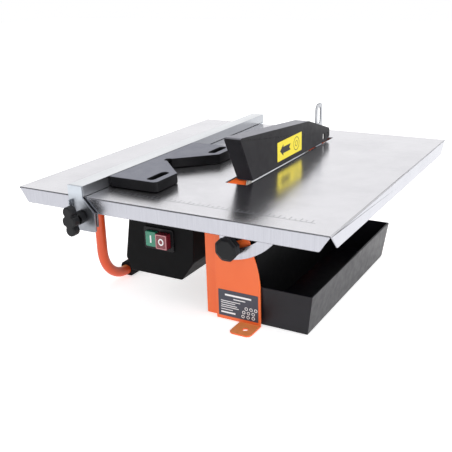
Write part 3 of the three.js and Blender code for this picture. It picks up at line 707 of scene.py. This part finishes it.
def frame_tube():
    """The bent tube as one smooth sweep with closed ends."""
    box_low, box_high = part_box("frame_tube")
    radius = 6 * MM
    left, end = box_low.x + radius, box_high.x
    front, rear = box_low.y + radius, box_high.y - radius
    floor, top = box_low.z + radius, box_high.z - radius
    corners = [
        (Vector((end, front, top)), 0),
        (Vector((left, front, top)), 26 * MM),
        (Vector((left, front, floor)), 40 * MM),
        (Vector((left, rear, floor)), 40 * MM),
        (Vector((left, rear, top)), 26 * MM),
        (Vector((end, rear, top)), 0),
    ]
    path = [corners[0][0]]
    steps = 14
    for (before, _), (at, bend), (after, _) in zip(corners, corners[1:], corners[2:]):
        back, on = (before - at).normalized(), (after - at).normalized()
        centre = at + (back + on) * bend
        for k in range(steps + 1):
            angle = math.pi / 2 * k / steps
            path.append(centre - on * bend * math.cos(angle) - back * bend * math.sin(angle))
    path.append(corners[-1][0])

    curve = bpy.data.curves.new("frame_tube_sweep", "CURVE")
    curve.dimensions = "3D"
    curve.bevel_depth = radius
    curve.bevel_resolution = 8
    curve.use_fill_caps = True
    spline = curve.splines.new("POLY")
    spline.points.add(len(path) - 1)
    for point, place in zip(spline.points, path):
        point.co = (*place, 1)
    spline.use_smooth = True
    holder = bpy.data.objects.new("sweep", curve)
    bpy.context.scene.collection.objects.link(holder)
    bpy.context.view_layer.update()
    swept = bpy.data.meshes.new_from_object(holder.evaluated_get(bpy.context.evaluated_depsgraph_get()))
    bpy.data.objects.remove(holder)
    swept.materials.clear()
    swept.polygons.foreach_set("use_smooth", [True] * len(swept.polygons))
    # the tube takes the darker orange copy, painted shade
    piece = new_piece("frame_tube_sweep", swept, SHADED_TUBE_ORANGE, "base")
    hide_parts("frame_tube")


# ---------------------------------------------------------------- floor, light, camera

def floor():
    """Plain pale floor."""
    bm = bmesh.new()
    half, level = 4.0, -0.2 * MM
    corners = rectangle(-half, -half, half, half)
    bm.faces.new([bm.verts.new((x, y, level)) for x, y in corners])
    made = bpy.data.objects.new("floor", from_bmesh(bm, "floor"))
    bpy.context.scene.collection.objects.link(made)
    pale = Finish("floor", "f4f4f4", 0.9, Specular_IOR_Level=0.0, Emission_Strength=0.62)
    pale.shader.inputs["Emission Color"].default_value = (1, 1, 1, 1)
    made.data.materials.append(pale.material)


def area_light(name, place, target, size, power, colour=(1, 1, 1)):
    """A soft rectangular lamp that points at a target."""
    lamp = bpy.data.lights.new(name, "AREA")
    lamp.shape = "RECTANGLE"
    lamp.size, lamp.size_y = size
    lamp.energy = power
    lamp.color = colour
    made = bpy.data.objects.new(name, lamp)
    made.location = place
    made.rotation_mode = "QUATERNION"
    made.rotation_quaternion = (Vector(target) - Vector(place)).to_track_quat("-Z", "Y")
    bpy.context.scene.collection.objects.link(made)


def spot_light(name, place, target, cone, power):
    """A narrow soft-edged lamp that points at a target; the cone is in degrees."""
    lamp = bpy.data.lights.new(name, "SPOT")
    lamp.spot_size = math.radians(cone)
    lamp.spot_blend = 1.0
    lamp.shadow_soft_size = 0.02
    lamp.energy = power
    made = bpy.data.objects.new(name, lamp)
    made.location = place
    made.rotation_mode = "QUATERNION"
    made.rotation_quaternion = (Vector(target) - Vector(place)).to_track_quat("-Z", "Y")
    bpy.context.scene.collection.objects.link(made)


def studio():
    """Pale surroundings, dimmer overhead, two soft lamps and a narrow one for the throat."""
    world = bpy.data.worlds.new("studio")
    bpy.context.scene.world = world
    world.use_nodes = True
    tree = world.node_tree
    background = tree.nodes["Background"]
    direction = tree.nodes.new("ShaderNodeTexCoord").outputs["Generated"]
    split = tree.nodes.new("ShaderNodeSeparateXYZ")
    tree.links.new(direction, split.inputs[0])
    ramp = tree.nodes.new("ShaderNodeValToRGB")
    stops = ((0.0, 1.0), (0.45, 1.0), (0.62, 0.55), (1.0, 0.35))
    while len(ramp.color_ramp.elements) < len(stops):
        ramp.color_ramp.elements.new(0.5)
    for element, (place, level) in zip(ramp.color_ramp.elements, stops):
        element.position = place
        element.color = (level, level, level * 1.01, 1)
    tree.links.new(split.outputs["Z"], ramp.inputs["Fac"])
    tree.links.new(ramp.outputs["Color"], background.inputs["Color"])
    background.inputs["Strength"].default_value = 1.0
    centre = (0, 0, 0.1)
    area_light("top_lamp", (0.2, 0.1, 1.6), centre, (1.4, 1.4), 14)
    area_light("right_lamp", (1.5, -0.4, 0.7), centre, (0.9, 0.9), 7)
    throat = (0.03, low("blade_guard").y - 2 * MM, 0.142)
    beside_camera = (0.362, -0.668, 0.353)
    spot_light("throat_lamp", beside_camera, throat, 4.0, 110)


def photo_camera():
    """Three-quarter view from the front right, a little above the table."""
    place = (0.3548, -0.6607, 0.3488)
    azimuth, elevation, roll = (math.radians(a) for a in (30.25, 19.76, 1.74))
    right = Vector((math.cos(azimuth), math.sin(azimuth), 0))
    back = Vector((
        math.sin(azimuth) * math.cos(elevation),
        -math.cos(azimuth) * math.cos(elevation),
        math.sin(elevation),
    ))
    up = back.cross(right)
    rolled_right = right * math.cos(roll) - up * math.sin(roll)
    rolled_up = right * math.sin(roll) + up * math.cos(roll)
    camera = bpy.data.cameras.new("camera")
    camera.lens = 56.86
    camera.sensor_width = 36
    made = bpy.data.objects.new("camera", camera)
    turn = Matrix((rolled_right, rolled_up, back)).transposed().to_4x4()
    made.matrix_world = Matrix.Translation(place) @ turn
    bpy.context.scene.collection.objects.link(made)
    bpy.context.scene.camera = made


for node_name, node_finish in NODE_FINISH.items():
    dress(node_name, node_finish)
table_scale()
guard_marks()
guard_slot_insert()
rating_label()
button_marks()
diamond_blade()
frame_tube()
floor()
studio()
photo_camera()
bpy.context.scene.view_settings.view_transform = "Standard"
